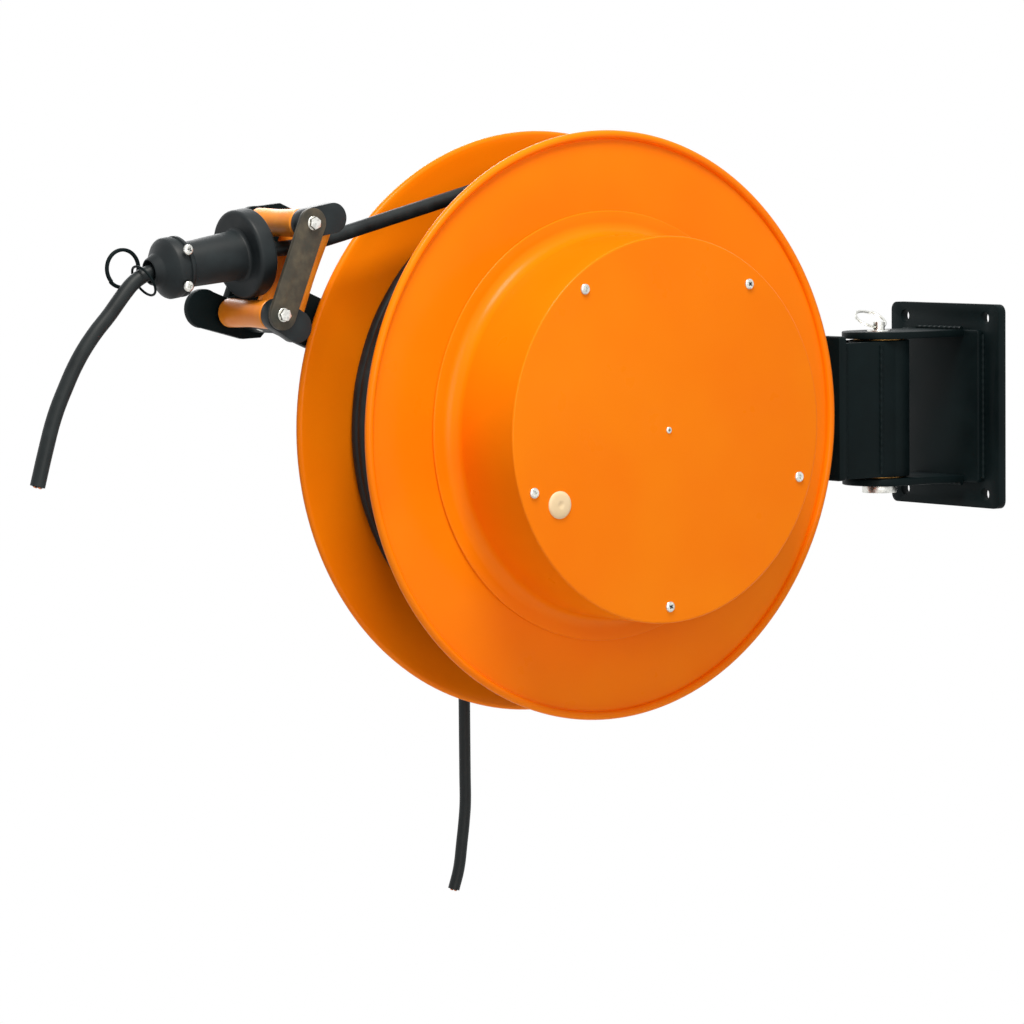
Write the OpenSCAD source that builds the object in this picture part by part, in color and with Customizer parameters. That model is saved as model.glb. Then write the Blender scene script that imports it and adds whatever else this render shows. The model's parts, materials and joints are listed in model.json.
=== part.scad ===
// Spring-driven extension cord reel on a swivelling wall bracket.
// A two-flange spool turns on a hollow fixed axle. Its front housing holds the power spring,
// its core holds the slip rings, and a four-roller guide on a radial arm leads the cable out.
// The origin is the centre of the wall plate's back face, +X points into the wall, +Z up.

/* [Spool] */
// Outer diameter of both flange rims
rim_d = 480; // [470:2:490]
// Distance between the centres of the two rolled rims
rim_gap = 96; // [94:1:100]
// Diameter of the rolled rim bead
bead_d = 7; // [5:0.5:8]
// Thickness of the flange sheet
sheet_t = 2; // [1.5:0.5:2.5]
// Clear width between the two flanges
wind_w = 90; // [88:1:90]
// Outer diameter of the winding core
core_d = 304; // [290:2:308]
// Wall of the winding core
core_wall = 3; // [2:0.5:4]

/* [Front housing] */
// Outer diameter of the spring housing
housing_d = 310; // [308:1:312]
// Distance of the cover's front face from the spool's middle
cover_front = 128; // [127:1:132]
// Thickness of the front cover
cover_t = 2.5; // [2:0.5:3]
// Fillet radius at the foot of the housing
foot_r = 12; // [8:1:14]
// Width of the housing's foot ring outside its fillet
foot_w = 7; // [5:1:9]
// Circle diameter of the cover screws
cover_pcd = 284; // [280:1:288]
// Number of cover screws
cover_screw_n = 5; // [3:1:8]
// Angle of the first cover screw from the wall side
cover_screw_a = 126; // [0:1:359]

/* [Cable] */
// Diameter of the drum cable
cable_d = 12; // [10:0.5:12]
// Diameter of the feed cable
feed_d = 10; // [8:0.5:10]
// Outer diameter of the whole winding
wind_d = 400; // [390:1:400]
// Loops in the outer layer
layer_loops = 4; // [1:1:4]
// Distance from loop to loop
layer_pitch = 12.6; // [12.5:0.05:12.8]
// Place of the winding's last loop, from the spool's middle
layer_end_y = 12.4; // [10:0.1:14]
// Angle at which the outer layer ends, from the wall side
layer_end_a = 102; // [90:1:106]

/* [Axle and bearings] */
// Diameter of the hollow axle
axle_d = 40; // [38:1:40]
// Bore of the hollow axle
axle_bore = 26; // [20:1:28]
// Outer diameter of the bearings
bearing_d = 72; // [70:1:72]
// Width of a bearing
bearing_w = 14; // [12:1:15]
// Number of slip rings
ring_n = 5; // [3:1:5]
// Turns of the power spring
spring_turns = 8; // [4:1:10]

/* [Wall bracket] */
// Width of the wall plate
plate_w = 140; // [130:2:160]
// Height of the wall plate
plate_h = 176; // [172:2:200]
// Thickness of the wall plate
plate_t = 8; // [6:1:8]
// Spacing of the wall bolts across
bolt_w = 104; // [100:1:110]
// Spacing of the wall bolts up
bolt_h = 152; // [148:1:156]
// Diameter of the wall bolt holes
bolt_d = 11; // [9:0.5:13]
// Distance of the swivel axis from the wall
swivel_x = 83; // [80:1:90]
// Diameter of the swivel pin
pin_d = 20; // [16:1:20]
// Clear height between the two ears
ear_gap = 120; // [120:1:124]
// Thickness of an ear
ear_t = 6; // [5:1:8]
// Radius of an ear's round end
ear_r = 32; // [30:1:34]
// Outer diameter of the swivel tube
tube_d = 52; // [48:1:52]

/* [Carrier] */
// Distance of the spool's axis from the wall
drum_off = 415; // [410:1:430]
// Thickness of the carrier's back plate
back_t = 10; // [8:1:10]
// Place of the back plate's front face, from the spool's middle
back_y = 64; // [64:1:66]
// Thickness of the carrier's side plate
side_t = 8; // [6:1:8]
// Gap between the rim and the side plate
side_gap = 22; // [20:1:24]

/* [Cable guide] */
// Width of the guide arm
arm_w = 41; // [36:1:41]
// Thickness of the guide arm
arm_t = 8; // [6:1:8]
// Radius of the lying guide rollers
roller_r = 11.5; // [11:0.5:12]
// Radius of the standing guide rollers
post_r = 9.5; // [9:0.5:10]
// Length of the lying guide rollers
roller_len = 61; // [58:1:61]
// Diameter of the roller pins
roller_pin_d = 6; // [5:0.5:6]

/* [Cable stop] */
// Diameter of the rubber buffer disc
buffer_d = 70; // [60:1:70]
// Thickness of the buffer disc
buffer_t = 16; // [14:1:16]
// Diameter of the stop's body
stop_d = 37; // [34:1:40]
// Diameter of the clamp collar
collar_d = 48; // [44:1:50]
// Mean diameter of the pull ring
pull_ring_d = 29; // [28.5:0.5:30]
// Wire diameter of the pull ring
pull_wire_d = 3; // [2:0.25:3]

/* [Hidden] */
$fn = 96;
arm_angle = 23;
teeth_n = 12;
drum_x = -drum_off;
pivot_x = -swivel_x;
rim_r = rim_d / 2;
bead_y = rim_gap / 2;
flange_in = wind_w / 2;
core_r = core_d / 2;
housing_r = housing_d / 2;
axle_r = axle_d / 2;
bearing_r = bearing_d / 2;
wind_r = wind_d / 2;
fit = 0.05;
axle_front = -(cover_front - 5);
axle_rear = 76;
layer_r = wind_r - cable_d / 2;
plain_r = (layer_r - cable_d / 2) * cos(7.5) - 0.4;
side_x0 = drum_x + rim_r + side_gap;
side_x1 = side_x0 + side_t;
side_low = -59;
side_high = 64;
guide_y = 13;
cable_y = 12;
low_roller = [319, -28.5];
high_roller = [320, 48];
post_a = 296;
post_gap = 36;
block_y0 = -28;
block_y1 = -18;
guide_plate_y = 50;
strap_t = 4;
cap_t = 6;
cap_low_b = -34;
cap_high_b = 61;
pawl_a = 112;
pawl_rest = 14;
stop_from = [-303, 147];
stop_tilt = atan(12.5 / 89);
pull_centre = [-418.4, 136.2];
link_centre = [-404.9, 126.6];
link_tilt = 60;
pull_y = 21;
drum_route = [
    [-45, 12, 203], [-75, 12, 195.5], [-105, 12, 188], [-135, 12, 180.5], [-165, 12, 173],
    [-195, 12, 165.5], [-225, 12, 158], [-250, 12, 152.5], [-272, 12, 149.4], [-290, 12, 148.1],
    [-303, 12, 147], [-333, 12, 142.8], [-363, 12, 138.6], [-392, 12, 134.5], [-400, 12, 132.7],
    [-408, 12, 129.3], [-415, 12, 124.8], [-421, 12, 119], [-427, 12, 112.3], [-436, 12, 101.8],
    [-451, 12, 86], [-465, 12, 67.5], [-477, 12, 46], [-487, 12, 24.5], [-495, 12, 0], [-503, 12, -28]
];
feed_route = [
    [0, 104, 0], [0, 114, 0], [0, 124.5, -1.4], [0, 134.5, -5.5], [0, 143, -12],
    [0, 149.5, -20.5], [0, 153.6, -30.4], [0, 155, -42], [0, 155, -66], [0, 155, -90],
    [0, 155, -114], [0, 155, -138], [0, 155, -162], [0, 155, -186], [0, 155, -210],
    [0, 155, -234], [0, 155, -258], [0, 155, -282], [0, 155, -306], [0, 155, -330],
    [-1, 155, -342], [-4, 155, -364], [-7.5, 155, -386], [-13, 155, -403]
];

// Point of the guide arm's frame, a out along the arm and b across it, as [x, z]
function guide_point(a, b) = [
    -a * cos(arm_angle) + b * sin(arm_angle),
    a * sin(arm_angle) + b * cos(arm_angle)
];

function unit(v) = v / norm(v);

// Direction of a route at its point i
function heading(route, i) =
    unit(route[min(i + 1, len(route) - 1)] - route[max(i - 1, 0)]);

// One ring of points round a route, square to it
function ring_points(centre, along, side, radius, sides) =
    let (u = unit(cross(along, side)))
    let (v = cross(u, along))
    [for (k = [0 : sides - 1])
        centre + radius * (cos(360 * k / sides) * u + sin(360 * k / sides) * v)];

function rings_of(route, side, radius, sides) = [
    for (i = [0 : len(route) - 1])
        ring_points(route[i], heading(route, i), side, radius, sides)
];

// Helix of the outer layer, with a straight end of one cable diameter at each end
function layer_at(i) =
    let (turn_a = layer_end_a - 360 * layer_loops + 15 * i)
    let (y = layer_end_y - layer_pitch * (layer_loops - i / 24))
    [layer_r * cos(turn_a), y, layer_r * sin(turn_a)];

function layer_tangent(i) =
    let (turn_a = layer_end_a - 360 * layer_loops + 15 * i)
    [-sin(turn_a), 0, cos(turn_a)];

layer_last = 24 * layer_loops;
layer_route = [
    layer_at(0) - cable_d * layer_tangent(0),
    for (i = [0 : layer_last]) layer_at(i),
    layer_at(layer_last) + cable_d * layer_tangent(layer_last)
];
layer_rings = [
    for (i = [0 : len(layer_route) - 1])
        let (step = min(max(i - 1, 0), layer_last))
        ring_points(layer_route[i], layer_tangent(step), [0, 1, 0], cable_d / 2, 6)
];
layer_gap = min([
    for (i = [0 : len(layer_rings) - 24])
        for (j = [i + 22 : min(i + 26, len(layer_rings) - 1)])
            for (p = layer_rings[i])
                for (q = layer_rings[j])
                    norm(p - q)
]);

// Closed tube through a list of rings
module tube_of(rings) {
    sides = len(rings[0]);
    last = len(rings) - 1;
    points = [for (ring = rings) for (p = ring) p];
    walls = [
        for (i = [0 : last - 1])
            for (k = [0 : sides - 1])
                let (a = i * sides + k)
                let (b = i * sides + (k + 1) % sides)
                each [[a, b, b + sides], [a, b + sides, a + sides]]
    ];
    first_cap = [for (k = [1 : sides - 2]) [0, k + 1, k]];
    last_cap = [for (k = [1 : sides - 2]) [last * sides, last * sides + k, last * sides + k + 1]];
    polyhedron(points = points, faces = concat(walls, first_cap, last_cap), convexity = 10);
}

// Moves the spool's frame to its place off the wall
module at_drum() {
    translate([drum_x, 0, 0]) children();
}

// Round bar along Y
module rod_y(radius, y0, y1, x = 0, z = 0) {
    translate([x, y0, z]) rotate([-90, 0, 0]) cylinder(r = radius, h = y1 - y0);
}

// Tapered bar along Y
module cone_y(r0, r1, y0, y1) {
    translate([0, y0, 0]) rotate([-90, 0, 0]) cylinder(r1 = r0, r2 = r1, h = y1 - y0);
}

// Ring along Y
module ring_y(outer, inner, y0, y1, x = 0, z = 0) {
    difference() {
        rod_y(outer, y0, y1, x, z);
        rod_y(inner, y0 - 1, y1 + 1, x, z);
    }
}

// Hexagon bar along Y, by its width over flats
module hex_y(flats, y0, y1, x = 0, z = 0) {
    translate([x, y0, z]) rotate([-90, 0, 0]) cylinder(r = flats / sqrt(3), h = y1 - y0, $fn = 6);
}

// Round bar along Z
module rod_z(radius, z0, z1, x = 0, y = 0) {
    translate([x, y, z0]) cylinder(r = radius, h = z1 - z0);
}

// Round bar along X
module rod_x(radius, x0, x1, y = 0, z = 0) {
    translate([x0, y, z]) rotate([0, 90, 0]) cylinder(r = radius, h = x1 - x0);
}

// Plate square to Y, its outline drawn in X and Z
module plate_y(y0, y1) {
    translate([0, y1, 0]) rotate([90, 0, 0]) linear_extrude(y1 - y0) children();
}

// Body turned about the spool's axis, its profile drawn as radius and Y
module turned() {
    rotate([-90, 0, 0]) rotate_extrude() children();
}

// Box from one corner to the other
module block(low, high) {
    translate(low) cube(high - low);
}

// Bar with two round ends between two places of the guide arm's frame
module link_y(p, q, radius, y0, y1) {
    side = (radius - 0.1) * unit([p[1] - q[1], q[0] - p[0]]);
    at_guide(p[0], p[1]) rod_y(radius, y0, y1);
    at_guide(q[0], q[1]) rod_y(radius, y0, y1);
    plate_y(y0, y1)
        translate([drum_x, 0])
            polygon([for (e = [p + side, q + side, q - side, p - side]) guide_point(e[0], e[1])]);
}

// Round bar across the guide arm, from b0 to b1
module rod_b(radius, a, y, b0, b1) {
    foot = guide_point(a, b0);
    translate([foot[0], y, foot[1]]) rotate([0, arm_angle, 0]) cylinder(r = radius, h = b1 - b0);
}

// Turned body on the stop's axis, from distance s0 to s1 along the cable
module stop_turned(s0, s1, r0, r1) {
    translate([stop_from[0], cable_y, stop_from[1]])
        rotate([0, -90 - stop_tilt, 0])
            translate([0, 0, s0])
                cylinder(r1 = r0, r2 = r1, h = s1 - s0);
}

// Wall bracket

module wall_plate() {
    color("#23262a")
        difference() {
            block([-plate_t, -plate_w / 2, -plate_h / 2], [0, plate_w / 2, plate_h / 2]);
            for (y = [-bolt_w / 2, bolt_w / 2])
                for (z = [-bolt_h / 2, bolt_h / 2])
                    rod_x(bolt_d / 2, -plate_t - 1, 1, y, z);
        }
}

module bracket_web() {
    half_z = ear_gap / 2 + ear_t;
    color("#2a2d31") block([-plate_t - 6, -50, -half_z], [-plate_t, 50, half_z]);
}

module ear_outline() {
    translate([pivot_x, 0]) circle(r = ear_r);
    translate([pivot_x, -ear_r]) square([swivel_x - plate_t - 6, 2 * ear_r]);
}

module bracket_ears() {
    color("#2a2d31")
        for (z = [-ear_gap / 2 - ear_t, ear_gap / 2])
            difference() {
                translate([0, 0, z]) linear_extrude(ear_t) ear_outline();
                rod_z(pin_d / 2 + fit, z - 1, z + ear_t + 1, pivot_x);
            }
}

module pivot_pin() {
    top = ear_gap / 2 + ear_t;
    color("#b9bcc0")
        difference() {
            union() {
                rod_z(pin_d / 2, -top, top + 1, pivot_x);
                rod_z(5, top, top + 8, pivot_x);
                rod_z(pin_d / 2 + 5, -top - 7, -top, pivot_x);
            }
            rod_x(2.3, pivot_x - pin_d, pivot_x + pin_d, 0, top + 3.5);
        }
}

module pin_ring() {
    top = ear_gap / 2 + ear_t;
    ring_r = 13.5;
    color("#d9dad7")
        translate([pivot_x, 0, top + 3.5])
            rotate([30, 0, 0])
                translate([0, ring_r - 0.5, 0])
                    rotate_extrude()
                        translate([ring_r, 0]) circle(r = 1.1, $fn = 24);
}

// Swivelling carrier

module swivel_tube() {
    color("#2d3136")
        difference() {
            rod_z(tube_d / 2, -58.5, 58.5, pivot_x);
            rod_z(pin_d / 2 + 3, -60, 60, pivot_x);
        }
}

module swivel_bushes() {
    inner = pin_d / 2 + 0.08;
    color("#b98a4a")
        for (way = [-1, 1])
            difference() {
                union() {
                    rod_z(pin_d / 2 + 3 - fit, way > 0 ? 36 : -58.5, way > 0 ? 58.5 : -36, pivot_x);
                    rod_z(22, way > 0 ? 58.5 : -59.8, way > 0 ? 59.8 : -58.5, pivot_x);
                }
                rod_z(inner, -62, 62, pivot_x);
            }
}

module carrier_neck() {
    color("#2d3136")
        for (y = [-tube_d / 2, tube_d / 2 - 6])
            difference() {
                block([side_x1, y, -58], [pivot_x - 4, y + 6, 58]);
                rod_z(tube_d / 2 + fit, -60, 60, pivot_x);
            }
}

module carrier_side() {
    color("#26292d")
        block([side_x0, -30, side_low], [side_x1, back_y + back_t, side_high]);
}

module carrier_back() {
    color("#26292d")
        difference() {
            plate_y(back_y, back_y + back_t) {
                translate([drum_x, 0]) circle(r = 72);
                polygon([
                    [drum_x, -72], [drum_x + 110, side_low], [side_x0, side_low],
                    [side_x0, side_high], [drum_x + 110, side_high], [drum_x, 72]
                ]);
            }
            rod_y(axle_r + fit, back_y - 1, back_y + back_t + 1, drum_x);
            axle_bolt_places() rod_y(4.3, back_y - 1, back_y + back_t + 1);
        }
}

module axle_bolt_places() {
    for (a = [45 : 90 : 315])
        translate([drum_x + 42 * cos(a), 0, 42 * sin(a)]) children();
}

module main_axle() {
    color("#9aa0a5") at_drum() ring_y(axle_r, axle_bore / 2, axle_front, axle_rear);
}

module axle_flange() {
    color("#8d9297")
        difference() {
            at_drum() ring_y(55, axle_r + fit, 49, back_y - arm_t);
            axle_bolt_places() rod_y(4.3, 48, back_y);
        }
}

module axle_bolts() {
    color("#b9bcc0")
        axle_bolt_places() {
            rod_y(4.2, 49, back_y + back_t);
            hex_y(13, back_y + back_t, back_y + back_t + 6);
        }
}

module bearing_inner() {
    color("#b4b8bc")
        at_drum()
            for (y = [-58, 28])
                ring_y(axle_r + 5, axle_r + fit, y, y + bearing_w);
}

module spring_arbor() {
    color("#8d9297") at_drum() ring_y(31, axle_r + fit, -118, -64);
}

module slip_ring_core() {
    color("#3a3a3a") at_drum() ring_y(33, axle_r + fit, -32, 16);
}

module slip_rings() {
    color("#c79a45")
        at_drum()
            for (i = [0 : ring_n - 1])
                ring_y(38, 33 + fit, -29 + 9 * i, -24 + 9 * i);
}

module inlet_gland() {
    color("#202225")
        at_drum()
            difference() {
                union() {
                    rod_y(axle_bore / 2 - fit, axle_rear - 14, axle_rear);
                    hex_y(32, axle_rear, axle_rear + 8);
                    cone_y(13.5, 7.5, axle_rear + 8, axle_rear + 28);
                }
                rod_y(feed_d / 2 + 0.2, axle_rear - 16, axle_rear + 29);
            }
}

module feed_cable() {
    color("#25292b") at_drum() tube_of(rings_of(feed_route, [1, 0, 0], feed_d / 2, 10));
}

// Guide arm and four-roller guide

module guide_arm() {
    low = -arm_w / 2 - 4;
    high = arm_w / 2 - 4;
    color("#26292d")
        difference() {
            union() {
                rod_y(62, back_y - arm_t, back_y, drum_x);
                plate_y(back_y - arm_t, back_y)
                    translate([drum_x, 0])
                        polygon([
                            guide_point(-12, low), guide_point(318, low),
                            guide_point(318, high), guide_point(-12, high)
                        ]);
            }
            rod_y(axle_r + fit, back_y - arm_t - 1, back_y + 1, drum_x);
            axle_bolt_places() rod_y(4.3, back_y - arm_t - 1, back_y + 1);
            arm_bolt_places() rod_y(3.2, back_y - arm_t - 1, back_y + 1);
            at_guide(pawl_a, 0) rod_y(4 + fit, back_y - arm_t - 1, back_y + 1);
        }
}

// Moves a body drawn on the Y axis to a place in the guide arm's frame
module at_guide(a, b) {
    place = guide_point(a, b);
    translate([drum_x + place[0], 0, place[1]]) children();
}

module arm_bolt_places() {
    for (a = [284, 306])
        at_guide(a, -4) children();
}

module guide_plate() {
    color("#26292d")
        difference() {
            union() {
                at_guide(339, -33) rod_y(15.5, guide_plate_y, back_y - arm_t);
                at_guide(high_roller[0], high_roller[1]) rod_y(13, guide_plate_y, back_y - arm_t);
                plate_y(guide_plate_y, back_y - arm_t)
                    translate([drum_x, 0])
                        polygon([
                            guide_point(339, -48.3), guide_point(296, -42), guide_point(281, -35),
                            guide_point(274, -18), guide_point(274, 16), guide_point(281, 65),
                            guide_point(288, 71), guide_point(304, 71), guide_point(324, 60),
                            guide_point(330, 42), guide_point(316, 28), guide_point(311, 6),
                            guide_point(313, -11), guide_point(321, -17.2), guide_point(338, -17.8)
                        ]);
            }
            roller_pin_places() rod_y(roller_pin_d / 2 + fit, guide_plate_y - 1, back_y);
            arm_bolt_places() rod_y(3.2, guide_plate_y - 1, back_y);
        }
}

module arm_bolts() {
    color("#b9bcc0")
        arm_bolt_places() {
            rod_y(3.1, guide_plate_y, back_y);
            hex_y(10, back_y, back_y + 4);
        }
}

module roller_pin_places() {
    at_guide(low_roller[0], low_roller[1]) children();
    at_guide(high_roller[0], high_roller[1]) children();
}

module guide_blocks() {
    color("#2b2e31")
        difference() {
            union() {
                link_y(low_roller, [300, -31], 12.5, block_y0, block_y1);
                link_y(high_roller, [301, 60], 12, block_y0, block_y1);
            }
            roller_pin_places() rod_y(roller_pin_d / 2 + fit, block_y0 - 1, block_y1 + 1);
        }
}

module guide_strap() {
    color("#62696a")
        difference() {
            link_y(low_roller, high_roller, 12, block_y0 - strap_t, block_y0);
            roller_pin_places() rod_y(roller_pin_d / 2 + fit, block_y0 - strap_t - 1, block_y0 + 1);
        }
}

module strap_bolts() {
    color("#d3d4cf")
        roller_pin_places() rod_y(5.5, block_y0 - strap_t - 4, block_y0 - strap_t);
}

module guide_cap(b0) {
    corner = guide_point(post_a + 8, b0);
    difference() {
        translate([drum_x + corner[0], block_y1, corner[1]])
            rotate([0, arm_angle, 0])
                cube([16, guide_plate_y - block_y1, cap_t]);
        at_drum()
            for (side = [-1, 1])
                rod_b(roller_pin_d / 2 + fit, post_a, guide_y + side * post_gap / 2, b0 - 1, b0 + cap_t + 1);
    }
}

module guide_caps() {
    color("#26292d") {
        guide_cap(cap_low_b);
        guide_cap(cap_high_b);
    }
}

module roller_pins() {
    color("#b9bcc0") {
        roller_pin_places() rod_y(roller_pin_d / 2, block_y0 - strap_t, back_y - arm_t);
        at_drum()
            for (side = [-1, 1])
                rod_b(roller_pin_d / 2, post_a, guide_y + side * post_gap / 2, cap_low_b, cap_high_b + cap_t);
    }
}

// Lying roller, slightly waisted, with a bore that runs on its pin
module lying_roller(place) {
    y0 = guide_y + 1.5 - roller_len / 2;
    y1 = y0 + roller_len;
    color("#f08a2a")
        at_guide(place[0], place[1])
            ring_y(roller_r, roller_pin_d / 2 + 0.08, y0, y1);
}

module standing_roller(side) {
    y = guide_y + side * post_gap / 2;
    b0 = cap_low_b + cap_t + 0.5;
    color("#f08a2a")
        at_drum()
            difference() {
                rod_b(post_r, post_a, y, b0, cap_high_b - 0.5);
                rod_b(roller_pin_d / 2 + 0.08, post_a, y, b0 - 1, cap_high_b + 1);
            }
}

module roller_low() {
    lying_roller(low_roller);
}

module roller_high() {
    lying_roller(high_roller);
}

module roller_front() {
    standing_roller(-1);
}

module roller_rear() {
    standing_roller(1);
}

// Free cable, its stop and its rings

module drum_cable() {
    color("#25292b") at_drum() tube_of(rings_of(drum_route, [0, 1, 0], cable_d / 2, 12));
}

module stop_bore() {
    stop_turned(-5, 105, cable_d / 2 + 0.2, cable_d / 2 + 0.2);
}

module stop_buffer() {
    color("#1f2224")
        at_drum()
            difference() {
                union() {
                    stop_turned(0, 2, buffer_d / 2 - 2, buffer_d / 2);
                    stop_turned(2, buffer_t - 2, buffer_d / 2, buffer_d / 2);
                    stop_turned(buffer_t - 2, buffer_t, buffer_d / 2, buffer_d / 2 - 2);
                }
                stop_bore();
            }
}

module stop_body() {
    color("#26292b")
        at_drum()
            difference() {
                stop_turned(buffer_t, 67, stop_d / 2 + 1.5, stop_d / 2 - 1);
                stop_bore();
            }
}

module stop_collar() {
    color("#1f2224")
        at_drum()
            difference() {
                union() {
                    stop_turned(67, 70, collar_d / 2 - 3, collar_d / 2);
                    stop_turned(70, 83, collar_d / 2, collar_d / 2);
                    stop_turned(83, 91, collar_d / 2, 13);
                    stop_turned(91, 98, 13, 10);
                }
                stop_bore();
                stop_turned(88, 99, cable_d / 2 + 0.2, 8.8);
                stop_screw_bores();
            }
}

module stop_screw_place(side) {
    translate([stop_from[0] - 76.2, cable_y, stop_from[1] - 10.7 + side * 14]) children();
}

module stop_screw_bores() {
    for (side = [-1, 1])
        stop_screw_place(side) {
            rod_y(2.1, -17, 15.2);
            rod_y(4.3, -30, -16);
        }
}

module stop_screws() {
    color("#b9bcc0")
        at_drum()
            for (side = [-1, 1])
                stop_screw_place(side) {
                    rod_y(2, -16, 15);
                    rod_y(4, -19.5, -16);
                }
}

module link_ring() {
    color("#1f2224")
        at_drum()
            translate([link_centre[0], cable_y, link_centre[1]])
                rotate([0, link_tilt, 0])
                    rotate_extrude()
                        translate([13, 0]) circle(r = 1, $fn = 24);
}

module pull_ring() {
    color("#1f2224")
        at_drum()
            translate([pull_centre[0], pull_y, pull_centre[1]])
                turned()
                    translate([pull_ring_d / 2, 0]) circle(r = pull_wire_d / 2, $fn = 32);
}

// Ratchet pawl, drawn in its engaged place and lifted to rest

module pawl() {
    tip = 78.6;
    tip_a = 20.5;
    hinge = guide_point(pawl_a, 0);
    color("#8d9297")
        at_guide(pawl_a, 0)
            rotate([0, pawl_rest, 0])
                translate([-hinge[0], 0, -hinge[1]])
                    difference() {
                        union() {
                            rod_y(9, 50.5, 53.5, hinge[0], hinge[1]);
                            plate_y(50.5, 53.5)
                                polygon([
                                    guide_point(tip * cos(tip_a), -tip * sin(tip_a)),
                                    guide_point(88 * cos(tip_a), -88 * sin(tip_a)),
                                    guide_point(pawl_a + 6, -6.3), guide_point(pawl_a - 4, 7.7)
                                ]);
                        }
                        rod_y(4.08, 49, 55, hinge[0], hinge[1]);
                    }
}

module pawl_pin() {
    color("#b9bcc0")
        at_guide(pawl_a, 0) {
            rod_y(4, 50.5, back_y);
            rod_y(7, back_y, back_y + 3);
        }
}

module pawl_spring() {
    color("#9aa0a5") at_guide(pawl_a, 0) ring_y(8, 4.3, 54, back_y - arm_t - 0.2);
}

// Spool

module flange_profile(side, inner) {
    web = side * (flange_in + sheet_t / 2);
    centre = side * bead_y;
    union() {
        translate([inner, min(web - sheet_t / 2, web + sheet_t / 2)])
            square([rim_r - bead_d / 2 - inner, sheet_t]);
        translate([rim_r - bead_d / 2, centre]) circle(r = bead_d / 2, $fn = 48);
    }
}

module front_flange() {
    color("#f07d1c") at_drum() turned() flange_profile(-1, bearing_r + 6.1);
}

module rear_flange() {
    color("#f07d1c") at_drum() turned() flange_profile(1, bearing_r + 6.1);
}

module drum_core() {
    color("#c9661a")
        at_drum()
            difference() {
                ring_y(core_r, core_r - core_wall, -flange_in, flange_in);
                rod_x(8, core_r - 10, core_r + 10, -33);
            }
}

module cable_core() {
    color("#202426") at_drum() ring_y(plain_r, core_r, -flange_in + 0.5, flange_in - 0.5);
}

module cable_layer() {
    echo(least_gap_between_loops = layer_gap);
    color("#25292b") at_drum() tube_of(layer_rings);
}

// Wall, fillet and foot of the housing, all one sheet
module housing_profile() {
    wall = 2;
    rear = -(flange_in + sheet_t);
    bend_r = housing_r + foot_r;
    bend_y = rear - foot_r - wall;
    polygon([
        [housing_r - wall, -cover_front + cover_t],
        [housing_r, -cover_front + cover_t],
        for (a = [0 : 10 : 90]) [bend_r - foot_r * cos(a), bend_y + foot_r * sin(a)],
        [bend_r + foot_w, rear - wall],
        [bend_r + foot_w, rear],
        for (a = [90 : -10 : 0]) [bend_r - (foot_r + wall) * cos(a), bend_y + (foot_r + wall) * sin(a)]
    ]);
}

module front_housing() {
    color("#f07d1c") at_drum() turned() housing_profile();
}

module cover_screw_places() {
    for (i = [0 : cover_screw_n - 1])
        translate([
            drum_x + cover_pcd / 2 * cos(cover_screw_a - 360 / cover_screw_n * i), 0,
            cover_pcd / 2 * sin(cover_screw_a - 360 / cover_screw_n * i)
        ])
            children();
}

module front_cover() {
    front = -cover_front;
    color("#f5861f")
        difference() {
            at_drum()
                union() {
                    rod_y(housing_r, front + 0.8, front + cover_t);
                    turned()
                        polygon([
                            [0, front], [housing_r - 1, front],
                            [housing_r, front + 0.8], [0, front + 0.8]
                        ]);
                }
            cover_screw_places() rod_y(2.1, front - 1, front + cover_t + 1);
            translate([drum_x - 110, 0, -54.5]) rod_y(9.1, front - 1, front + cover_t + 1);
            rod_y(2.1, front - 1, front + cover_t + 1, drum_x);
        }
}

module cover_screws() {
    front = -cover_front;
    color("#e8e4da") {
        cover_screw_places() {
            rod_y(2, front, front + cover_t);
            rod_y(4.2, front - 1.8, front);
        }
        rod_y(2, front, front + cover_t, drum_x);
        rod_y(2.6, front - 0.8, front, drum_x);
    }
}

module cover_plug() {
    front = -cover_front;
    color("#f4ead6")
        translate([drum_x - 110, 0, -54.5]) {
            rod_y(9, front, front + cover_t);
            rod_y(11, front - 2, front);
        }
}

module front_hub() {
    color("#9aa0a5")
        at_drum() {
            ring_y(bearing_r + 6, bearing_r + fit, -60, -flange_in);
            ring_y(70, bearing_r + fit, -flange_in, -flange_in + 4);
        }
}

module hub_screw_places() {
    for (a = [0 : 60 : 300])
        translate([drum_x + 92 * cos(a), 0, 92 * sin(a)]) children();
}

module rear_hub() {
    color("#9aa0a5")
        difference() {
            at_drum() {
                ring_y(bearing_r + 6, bearing_r + fit, 26, flange_in + sheet_t);
                ring_y(100, bearing_r + 5, flange_in - 4, flange_in);
            }
            hub_screw_places() rod_y(2.6, flange_in - 5, flange_in + 1);
        }
}

module hub_screws() {
    color("#b9bcc0")
        hub_screw_places() {
            rod_y(2.5, flange_in - 4, flange_in);
            rod_y(4.8, flange_in + sheet_t, flange_in + sheet_t + 3);
        }
}

module bearing_outer() {
    color("#b4b8bc")
        at_drum()
            for (y = [-58, 28])
                ring_y(bearing_r, bearing_r - 5.5, y, y + bearing_w);
}

module spring_cassette() {
    color("#8d9297")
        at_drum()
            turned()
                polygon([
                    [60, -47], [147, -47], [147, -123], [45, -123],
                    [45, -120.5], [144.5, -120.5], [144.5, -49.5], [60, -49.5]
                ]);
}

// Flat spiral of spring strip
function spiral_point(step, offset) =
    let (turn_a = step * 15)
    let (radius = 34 + 107 * step / (24 * spring_turns) + offset)
    [radius * cos(turn_a), radius * sin(turn_a)];

module power_spring() {
    last = 24 * spring_turns;
    color("#6f767c")
        at_drum()
            plate_y(-117, -68)
                polygon([
                    for (i = [0 : last]) spiral_point(i, -0.6),
                    for (i = [last : -1 : 0]) spiral_point(i, 0.6)
                ]);
}

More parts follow.
